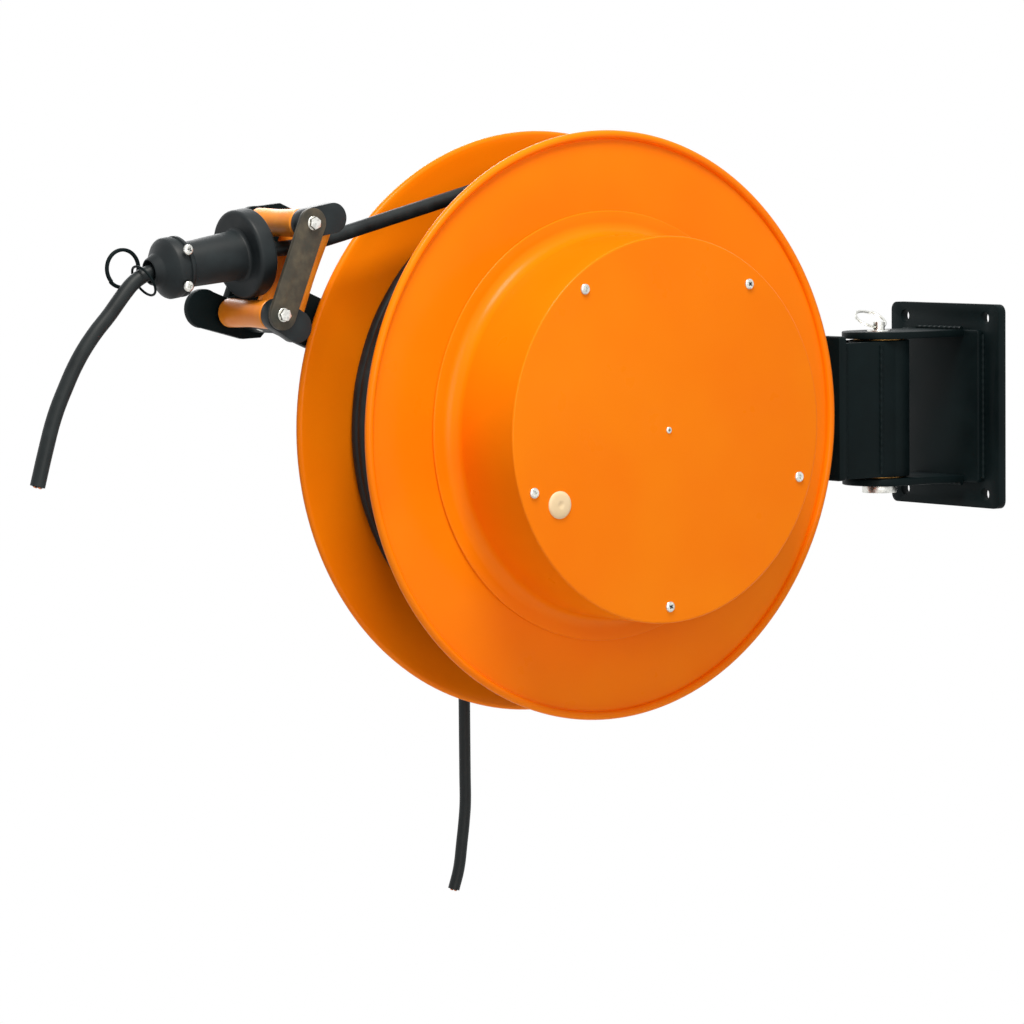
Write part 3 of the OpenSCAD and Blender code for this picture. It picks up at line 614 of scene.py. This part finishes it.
def underLayer(s):
    # the last turns lie a little loose, up against the rear flange
    firstY = -s["pitch"] * s["underTurns"] / 2
    route = []
    for x, y, z in helix(1.0, s["pitch"], firstY, s["underStart"], s["underTurns"] + s["extraTurns"]):
        slack = min(max((y - s["looseFrom"]) / s["looseOver"], 0), 1)
        radius = s["under"] + s["looseBy"] * slack
        route.append((x * radius, min(y, s["lastY"]), z * radius))
    return route


def coreProfile(s):
    # the inner turns show only as a ribbed ring between the flanges
    ribs = []
    for k in range(s["ribs"]):
        middle = (k - (s["ribs"] - 1) / 2) * s["pitch"]
        ribs += arc((s["core"], middle), s["cable"], -75, 75, 10)
    start = [(s["coreHole"], -s["coreHalf"]), (s["core"], -s["coreHalf"])]
    return start + ribs + [(s["core"], s["coreHalf"]), (s["coreHole"], s["coreHalf"])]


def winding(s):
    look = looks["cable_rubber"]
    declare(wire("windingOuter", outerLayer(s), s["cable"], look, sides=4), "cable_layer")
    declare(wire("windingUnder", underLayer(s), s["cable"], look, sides=4), body="spool")
    spunPiece("windingCore", coreProfile(s), "cable_core", s["coreSteps"])


winding(windingSettings)
print("winding done")

rollerSettings = {
    "bore": 3.1, "waist": 0.9, "waistSteps": 12, "chamfer": 1.4,
    "endRing": 2.5, "endRingLow": 2, "endRingDepth": 0.6,                              # groove in each end
    "lyingRadius": 11.5, "lyingSpan": (-16, 45), "low": (319, -28.5), "high": (320, 48),
    "standingRadius": 9.5, "standingSpan": (-27.5, 60.5), "standingAt": 296, "gap": 36, "steps": 64,
}


def rollerProfile(s, radius, span):
    # waisted, so that the cable centres itself in the hollow
    start, end = span
    middle, half = (start + end) / 2, (end - start) / 2
    face = radius - s["chamfer"]
    ring, low, depth = face - s["endRing"], face - s["endRingLow"], s["endRingDepth"]
    shape = [(s["bore"], start), (ring, start), (low, start + depth), (face, start)]
    for i in range(s["waistSteps"] + 1):
        t = -1 + 2 * i / s["waistSteps"]
        hollow = s["waist"] * math.cos(t * math.pi / 2) ** 2
        shape.append((radius - hollow, middle + (half - s["chamfer"]) * t))
    return shape + [(face, end), (low, end - depth), (ring, end), (s["bore"], end)]


def rollers(s):
    lying = rollerProfile(s, s["lyingRadius"], s["lyingSpan"])
    for name, node in (("low", "roller_low"), ("high", "roller_high")):
        spunPiece(name + "Roller", lying, node, s["steps"], atGuide(*s[name]))
    standing = rollerProfile(s, s["standingRadius"], s["standingSpan"])
    across = Matrix.Rotation(armAngle, 4, "Y") @ Matrix.Rotation(math.pi / 2, 4, "X")
    for name, node, side in (("front", "roller_front", -1), ("rear", "roller_rear", 1)):
        place = atGuide(s["standingAt"], 0, guideY + side * s["gap"] / 2) @ across
        spunPiece(name + "Roller", standing, node, s["steps"], place)


rollers(rollerSettings)
print("rollers done")

stopSettings = {
    "from": (-303, 147), "tilt": math.atan(12.5 / 89),                                 # on the cable
    "bore": 6.25, "disc": 35, "discEnd": 16, "discEdge": 3.2, "discSteps": 96, "steps": 72,
    "bodyStart": 20, "bodyEnd": 17.5, "collarStart": 67, "collar": 24, "mouth": 9,
    "screwsAt": (-76.2, -23.6, -10.7), "screwGap": 14, "screwHead": (4.2, 2.4), "screwTwist": 0.4,
}


def atStop(s):
    # the stop's own Y axis runs out along the cable from where it begins
    lie = Matrix.Rotation(-math.pi / 2 - s["tilt"], 4, "Y") @ Matrix.Rotation(math.pi / 2, 4, "X")
    return moved(s["from"][0], cableY, s["from"][1]) @ lie


def stopDisc(s):
    b, d, e, end = s["bore"], s["disc"], s["discEdge"], s["discEnd"]
    profile = [(b, 0), (d - 8, 0), (d - e - 0.5, 0)] + arc((d - e, e), e, -90, 0, 6)
    profile += arc((d - e, end - e), e, 0, 90, 6)
    profile += [(d - e - 0.5, end), (s["bodyStart"] + 3, end), (b, end)]
    return spunPiece("stopDisc", profile, "stop_buffer", s["discSteps"], atStop(s))


def stopBody(s):
    # tapers from the disc, where a small fillet joins it, to the collar
    b, wide, thin, y0, y1 = s["bore"], s["bodyStart"], s["bodyEnd"], s["discEnd"], s["collarStart"]
    profile = [(b, y0), (wide + 2, y0)] + arc((wide + 2, y0 + 2.6), 2.4, -90, -180, 5)
    profile += [(wide - 0.6, y0 + 8), (thin + 0.4, y1 - 6), (thin, y1 - 1), (thin, y1), (b, y1)]
    return spunPiece("stopBody", profile, "stop_body", s["steps"], atStop(s))


def stopCollar(s):
    # clamp ring with a groove round it, then a cone and the soft mouth that the cable leaves
    b, c, y = s["bore"], s["collar"], s["collarStart"]
    profile = [(b, y), (c - 4, y), (c - 3, y + 0.3), (c - 0.8, y + 2.4), (c, y + 3.6), (c, y + 5.5),
               (c - 1.3, y + 6.3), (c - 1.3, y + 8.3), (c, y + 9.1), (c, y + 15), (c - 0.8, y + 16.6),
               (c - 4.6, y + 19.8), (14, y + 23.6), (13, y + 24.6), (10.6, y + 30), (9.6, y + 31),
               (s["mouth"], y + 31), (b + 0.4, y + 22), (b, y + 21)]
    return spunPiece("stopCollar", profile, "stop_collar", s["steps"], atStop(s))


def stopScrews(s):
    bm = bmesh.new()
    dx, dy, dz = s["screwsAt"]
    for side in (-1, 1):
        place = moved(s["from"][0] + dx, cableY + dy, s["from"][1] + dz + side * s["screwGap"])
        panHead(bm, place @ Matrix.Rotation(s["screwTwist"] * side, 4, "Y"), *s["screwHead"])
    return addPiece("stopScrews", bm, "stop_screws", sharp=38)


stopOnCable = [make(stopSettings) for make in (stopDisc, stopBody, stopCollar, stopScrews)]

coilSteps = 64    # to one turn
ringSettings = {
    "pull": {"at": (-418.4, 21, 136.2), "radius": 14.5, "halfWide": 1.4, "halfHigh": 0.74,
             "turns": 2.0, "pitch": 1.5, "start": 2.4},
    "link": {"at": (-404.9, cableY, 126.6), "tilt": 60, "radius": 13, "halfWide": 1.0, "halfHigh": 1.0,
             "turns": 0.985, "pitch": 0.0, "start": 1.2},
    "pin": {"z": 69.5, "tilt": 30, "radius": 13.5, "halfWide": 1.1, "halfHigh": 0.55,
            "turns": 2.0, "pitch": 1.1, "start": 0.9},
}


def coil(s, place):
    # a flat or round bar swept round the Y axis in a tight coil, both ends closed
    bm = bmesh.new()
    rim = list(bmesh.ops.create_circle(bm, segments=12, radius=1.0, cap_ends=False)["verts"])
    firstY = -s["pitch"] * s["turns"] / 2
    for v in rim:
        v.co = Vector((s["radius"] + v.co.x * s["halfWide"], v.co.y * s["halfHigh"] + firstY, 0)) * mm
    edges = list({e for v in rim for e in v.link_edges})
    cap = bmesh.ops.contextual_create(bm, geom=edges)["faces"]
    bmesh.ops.spin(bm, geom=rim + edges + cap, cent=(0, 0, 0), axis=(0, 1, 0),
                   dvec=(0, s["pitch"] * mm / coilSteps, 0), angle=2 * math.pi * s["turns"],
                   steps=round(coilSteps * s["turns"]), use_merge=False, use_duplicate=False)
    bmesh.ops.transform(bm, matrix=place @ Matrix.Rotation(s["start"], 4, "Y"), verts=bm.verts)
    bmesh.ops.recalc_face_normals(bm, faces=bm.faces)
    return bm


def ringOnStop(s):
    # key-ring coil: two turns of flat wire lying on each other
    return addPiece("pullRing", coil(s, moved(*s["at"])), "pull_ring", sharp=50)


def ringOnCable(s):
    # a single closed link, leaning round the cable
    lie = Matrix.Rotation(math.radians(s["tilt"]), 4, "Y") @ Matrix.Rotation(math.pi / 2, 4, "X")
    return addPiece("linkRing", coil(s, moved(*s["at"]) @ lie), "link_ring", sharp=50)


def ringOnPin(s):
    # hangs in the top of the swivel pin
    top = Matrix.Translation((pivotX * mm, 0, s["z"] * mm))
    lean = Matrix.Rotation(math.radians(s["tilt"]), 4, "X")
    lie = Matrix.Translation((0, (s["radius"] - 0.5) * mm, 0)) @ Matrix.Rotation(math.pi / 2, 4, "X")
    addPiece("pinRing", coil(s, top @ lean @ lie), "pin_ring", sharp=50)


stopOnCable += [ringOnStop(ringSettings["pull"]), ringOnCable(ringSettings["link"])]
ringOnPin(ringSettings["pin"])
print("stop and rings done")

boltSettings = {
    "axle": {"count": 4, "circle": 42, "first": 45, "face": 74, "twist": 0.3, "flats": 13, "head": 5.2,
             "washer": 10, "washerHeight": 1.2, "shank": (4.1, 24.9)},
    "arm": {"at": ((284, -4), (306, -4)), "face": 64, "twist": 0.5, "flats": 10, "head": 3.6,
            "washer": 8, "washerHeight": 1.2, "shank": (3, 13.9)},
    "strap": {"face": -32, "firstTwist": 0.35, "twist": 0.6, "flats": 8.91, "head": 3.2,
              "washer": 5.5, "washerHeight": 0.8},
    "hub": {"count": 6, "circle": 92, "face": 47, "twist": 0.8, "head": (4.8, 3)},
}


def hexHead(bm, place, flats, height, base=0.0):
    # chamfered hexagon that stands on base, its top towards +Y
    stand = place @ Matrix.Rotation(-math.pi / 2, 4, "X")
    middle = Matrix.Translation((0, 0, (base + height / 2) * mm))
    known = set(bm.faces)
    corner = flats / math.sqrt(3) * mm
    bmesh.ops.create_cone(bm, cap_ends=True, segments=6, radius1=corner, radius2=corner,
                          depth=height * mm, matrix=stand @ middle)
    top = stand @ Vector((0, 0, (base + height) * mm))
    reach = 0.62 * flats * mm    # a little further than the top's own corners
    rim = {e for f in bm.faces if f not in known for e in f.edges
           if all((v.co - top).length < reach for v in e.verts)}
    bevelEdges(bm, list(rim), 0.07 * flats, segments=2)


def bolt(bm, spot, twist, s):
    # hexagon head on a chamfered washer
    place = spot @ Matrix.Rotation(twist, 4, "Y")
    w, h = s["washer"], s["washerHeight"]
    spun(bm, [(0, 0), (w, 0), (w, h - 0.3), (w - 0.3, h), (0, h)], place, 40)
    hexHead(bm, place, s["flats"], s["head"], h)


def shank(bm, spot, radius, depth):
    spun(bm, [(0, -depth), (radius, -depth), (radius, 0), (0, 0)], spot, 32)


def axleBolts(s):
    bm = bmesh.new()
    for i in range(s["count"]):
        turn = math.radians(s["first"] + 360 / s["count"] * i)
        spot = moved(s["circle"] * math.cos(turn), s["face"], s["circle"] * math.sin(turn))
        bolt(bm, spot, s["twist"] * i, s)
        shank(bm, spot, *s["shank"])
    addPiece("axleBolts", bm, "axle_bolts", sharp=32)


def armBolts(s):
    bm = bmesh.new()
    for i, place in enumerate(s["at"]):
        spot = atGuide(*place, s["face"])
        bolt(bm, spot, s["twist"] * i, s)
        shank(bm, spot, *s["shank"])
    addPiece("armBolts", bm, "arm_bolts", sharp=32)


def strapBolts(s):
    bm = bmesh.new()
    for i, key in enumerate(("low", "high")):
        spot = atGuide(*rollerSettings[key], s["face"]) @ Matrix.Rotation(math.pi, 4, "Z")
        bolt(bm, spot, s["firstTwist"] + s["twist"] * i, s)
    addPiece("strapBolts", bm, "strap_bolts", sharp=32)


def hubScrews(s):
    bm = bmesh.new()
    for i in range(s["count"]):
        turn = math.radians(360 / s["count"] * i)
        spot = moved(s["circle"] * math.cos(turn), s["face"], s["circle"] * math.sin(turn))
        place = spot @ Matrix.Rotation(math.pi, 4, "Z") @ Matrix.Rotation(s["twist"] * i, 4, "Y")
        panHead(bm, place, *s["head"])
    addPiece("hubScrews", bm, "hub_screws", sharp=38)


axleBolts(boltSettings["axle"])
armBolts(boltSettings["arm"])
strapBolts(boltSettings["strap"])
hubScrews(boltSettings["hub"])

glandSettings = {"face": 76, "flats": 32, "hexHeight": 8, "threadRadius": 12.9, "threadEnd": -14,
                 "tail": 20, "ribs": 5, "ribShare": 0.62, "bore": 5.2, "base": 13.5, "tip": 7.5}


def inletGland(s):
    # hexagon nut with a tapered sleeve whose ribs let it bend with the cable
    bm = bmesh.new()
    place = moved(0, s["face"], 0)
    bore, thread, end = s["bore"], s["threadRadius"], s["hexHeight"] + s["tail"]
    spun(bm, [(bore, s["threadEnd"]), (thread, s["threadEnd"]), (thread, 0.5), (bore, 0.5)], place, 48)
    hexHead(bm, place, s["flats"], s["hexHeight"])
    sleeve = [(bore, 7.5), (s["base"], 7.5)]
    for i in range(s["ribs"]):
        t0, t1 = i / s["ribs"], (i + s["ribShare"]) / s["ribs"]
        wide0, wide1 = (s["base"] + (s["tip"] - s["base"]) * t for t in (t0, t1))
        y0, y1 = (s["hexHeight"] + s["tail"] * t for t in (t0, t1))
        sleeve += [(wide0, y0 + 0.4), (wide0, y1 - 0.3), (wide1 - 1.3, y1), (wide1 - 1.5, y1 + 1.2)]
    sleeve += [(s["tip"], end - 0.8), (s["tip"] - 0.6, end), (bore, end)]
    spun(bm, sleeve, place, 64)
    addPiece("inletGland", bm, "inlet_gland", sharp=32)


inletGland(glandSettings)

pawlSpringSettings = {"at": (112, 0), "radius": 6.4, "pitch": 0.6, "fromY": 54.5, "start": 20,
                      "turns": 1.75, "stepDegrees": 20, "wire": 0.45}


def pawlSpring(s):
    # torsion spring round the pawl's pin
    coilRoute = helix(s["radius"], s["pitch"], s["fromY"], s["start"], s["turns"], s["stepDegrees"])
    x, z = guidePoint(*s["at"])
    route = [(px + x, py, pz + z) for px, py, pz in coilRoute]
    declare(wire("pawlSpring", route, s["wire"], looks["spring_steel"], sides=3), "pawl_spring")


pawlSpring(pawlSpringSettings)

# how wide each plate's or fitting's edges are eased, in mm
edgeWidths = {
    "wall_plate": 0.9, "bracket_web": 0.9, "bracket_ears": 0.8, "pivot_pin": 0.8, "swivel_bushes": 0.25,
    "swivel_tube": 0.6, "carrier_neck": 0.8, "carrier_side": 0.9, "carrier_back": 0.9, "axle_flange": 0.7,
    "guide_arm": 0.8, "guide_plate": 0.6, "guide_blocks": 1.2, "guide_strap": 0.7, "guide_caps": 0.8,
    "main_axle": 0.6, "rear_hub": 0.5, "roller_pins": 0.4, "ratchet_wheel": 0.3, "pawl": 0.3, "pawl_pin": 0.4,
}
# radius of the corners that are rounded too, and the axis that those corners run along
roundedCorners = {"wall_plate": (7, 0), "bracket_web": (3, 0), "carrier_side": (3, 0), "guide_caps": (3, 1)}

for node, width in edgeWidths.items():
    radius, axis = roundedCorners.get(node, (None, 0))
    eased(node, width, radius, axis, easedSettings)
print("plates and fittings eased")

weldSettings = {"bead": 1.8, "stepMm": 3.2, "ripple": 0.12}


def weld(name, runs, body, s):
    # fillet welds: a rippled bead along each joint line, whose ends are in mm from the wall
    for i, (start, end) in enumerate(runs):
        start, end = Vector(start), Vector(end)
        count = max(4, round((end - start).length / s["stepMm"]))
        route = [start.lerp(end, k / count) - drumCentre / mm for k in range(count + 1)]
        piece = wire(f"{name}{i}", route, s["bead"], looks["black_coated_steel"], sides=3,
                     swell=lambda k: 1 + s["ripple"] * (-1) ** k)
        declare(piece, body=body)


bracketRuns = [((-14, -29, z), (-14, 29, z)) for z in (-67, 67)]      # ears on the inner plate
bracketRuns += [((-9, y, -62), (-9, y, 62)) for y in (-51, 51)]       # inner plate on the wall plate
carrierRuns = [((-144, y, -55), (-144, y, 55)) for y in (-27, 27)]    # neck on the side plate
carrierRuns += [((-103, y, -55), (-103, y, 55)) for y in (-26, 26)]   # neck on the swivel tube
weld("bracketWeld", bracketRuns, "wall_bracket", weldSettings)
weld("carrierWeld", carrierRuns, "carrier", weldSettings)
print("welds done")

roomSettings = {"ambient": "#FFE9DD", "ambientStrength": 0.36, "floor": ["#E6EEF3", "#EBF2F6"],
                "floorHeight": -0.8, "floorRadius": 1.4}


def makeWorld(s):
    # white surroundings for the camera and for gloss, a softer level for the light itself
    world = bpy.data.worlds.new("paleRoom")
    bpy.context.scene.world = world
    world.use_nodes = True
    tree = world.node_tree
    tree.nodes.clear()
    ray = addNode(tree, "ShaderNodeLightPath")
    seen = addNode(tree, "ShaderNodeMath", {"operation": "MAXIMUM"},
                   {0: ray.outputs["Is Camera Ray"], 1: ray.outputs["Is Glossy Ray"]})
    seen = addNode(tree, "ShaderNodeMath", {"operation": "MAXIMUM"},
                   {0: seen.outputs[0], 1: ray.outputs["Is Transmission Ray"]})
    ambient = addNode(tree, "ShaderNodeBackground",
                      {"Color": hexToLinear(s["ambient"]), "Strength": s["ambientStrength"]})
    white = addNode(tree, "ShaderNodeBackground", {"Color": (1, 1, 1, 1), "Strength": 1.0})
    mixed = addNode(tree, "ShaderNodeMixShader", None,
                    {0: seen.outputs[0], 1: ambient.outputs[0], 2: white.outputs[0]})
    addNode(tree, "ShaderNodeOutputWorld", None, {"Surface": mixed.outputs[0]})


def makeFloor(s):
    # matt painted floor with the faintest clouds
    bm = bmesh.new()
    bmesh.ops.create_circle(bm, cap_ends=True, segments=128, radius=s["floorRadius"],
                            matrix=Matrix.Translation((drumCentre.x, 0, s["floorHeight"])))
    mat, tree, shader, at = newMaterial("palePaintedFloor", Specular_IOR_Level=0.1)
    dress(tree, shader, blendColours(tree, grain(tree, at, sizeMm=300), s["floor"], [0.35, 0.65]),
          spreadTo(tree, grain(tree, at, sizeMm=60), 0.7, 0.85),
          bumpFrom(tree, grain(tree, at, sizeMm=2), distanceMm=0.05, strength=0.1))
    linkMesh("floorDisc", bm, mat, 35)


makeWorld(roomSettings)
makeFloor(roomSettings)

lampSettings = {
    "key": {"from": (-0.5, -0.65, 1.4), "size": 0.7, "watts": 25, "tint": "#FFFAF2"},
    "front": {"from": (-0.9, -2.2, 0.35), "size": 1.4, "watts": 14, "tint": "#FFF8F0"},
    "back": {"from": (0.7, 2.0, 1.1), "size": 1.4, "watts": 20, "tint": "#FFFFFF"},
}


def makeLamp(name, s):
    # a soft disc that faces the middle of the spool
    lamp = bpy.data.lights.new(name, "AREA")
    lamp.shape = "DISK"
    lamp.size = s["size"]
    lamp.energy = s["watts"]
    lamp.color = hexToLinear(s["tint"])[:3]
    holder = bpy.data.objects.new(name, lamp)
    bpy.context.scene.collection.objects.link(holder)
    holder.location = drumCentre + Vector(s["from"])
    holder.rotation_euler = (-Vector(s["from"])).to_track_quat("-Z", "Y").to_euler()


for lampName, lampValues in lampSettings.items():
    makeLamp(lampName + "Lamp", lampValues)
bpy.context.scene.view_settings.view_transform = "Standard"
print("room and lamps done")
